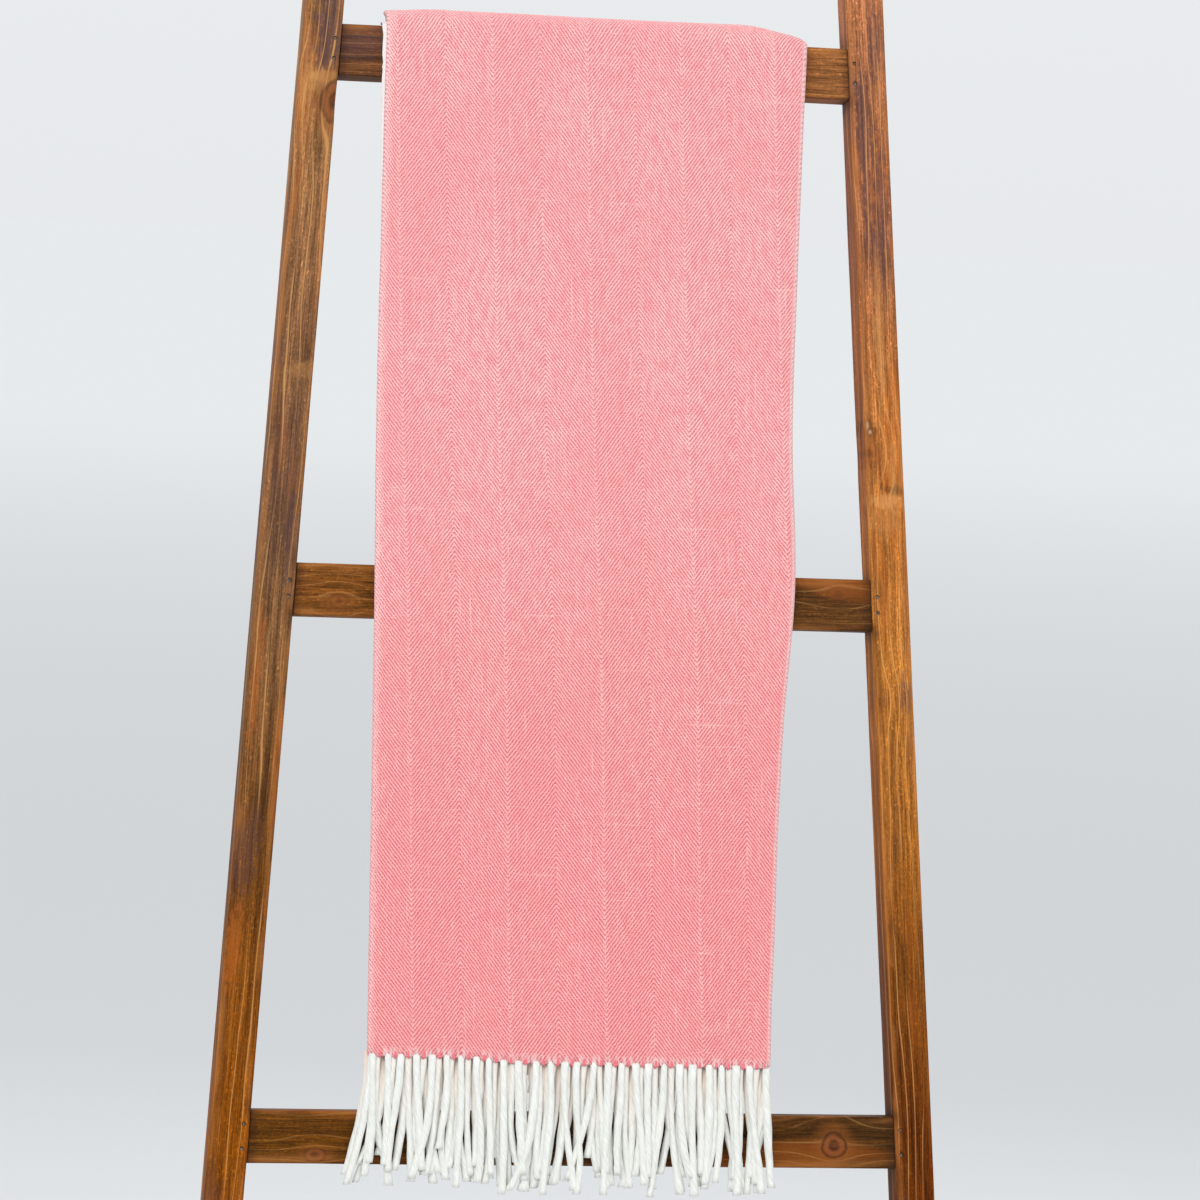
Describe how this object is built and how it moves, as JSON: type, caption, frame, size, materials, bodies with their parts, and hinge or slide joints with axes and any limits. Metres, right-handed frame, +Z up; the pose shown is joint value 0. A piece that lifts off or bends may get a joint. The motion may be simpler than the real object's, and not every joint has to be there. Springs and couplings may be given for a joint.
{
  "type": "leaning blanket ladder with throw",
  "caption": "Tapered leaning blanket ladder of dark-stained pine, with a fringed herringbone throw folded and hung over its top rung.",
  "frame": {"origin": "on the floor, under the middle of the whole piece as it leans", "axes": "+Z up, +Y towards the wall that the ladder leans on, +X to the right as seen from the front"},
  "size_m": [0.6134, 0.244, 1.5258],
  "materials": {
    "rail_wood": "dark oil stain rubbed over knotty sanded pine",
    "rung_wood": "dark oil stain rubbed over knotty sanded pine",
    "brad_steel": "dull dark wire",
    "throw_cloth": "coral and white herringbone weave, soft and matt",
    "fringe_yarn": "undyed twisted cotton yarn"
  },
  "bodies": {
    "ladder": {"rail_left": "rail_wood", "rail_right": "rail_wood", "rung_1": "rung_wood", "rung_2": "rung_wood", "rung_3": "rung_wood", "rung_4": "rung_wood", "brad_left_1_upper": "brad_steel", "brad_left_1_lower": "brad_steel", "brad_left_2_upper": "brad_steel", "brad_left_2_lower": "brad_steel", "brad_left_3_upper": "brad_steel", "brad_left_3_lower": "brad_steel", "brad_left_4_upper": "brad_steel", "brad_left_4_lower": "brad_steel", "brad_right_1_upper": "brad_steel", "brad_right_1_lower": "brad_steel", "brad_right_2_upper": "brad_steel", "brad_right_2_lower": "brad_steel", "brad_right_3_upper": "brad_steel", "brad_right_3_lower": "brad_steel", "brad_right_4_upper": "brad_steel", "brad_right_4_lower": "brad_steel"},
    "hung_throw": {"throw": "throw_cloth", "fringe_front": "fringe_yarn", "fringe_back": "fringe_yarn"}
  },
  "joints": [
    {"name": "throw_lift", "type": "slide", "parent": "ladder", "child": "hung_throw", "axis": [0, 0, 1], "range_m": [0, 0.87]}
  ]
}
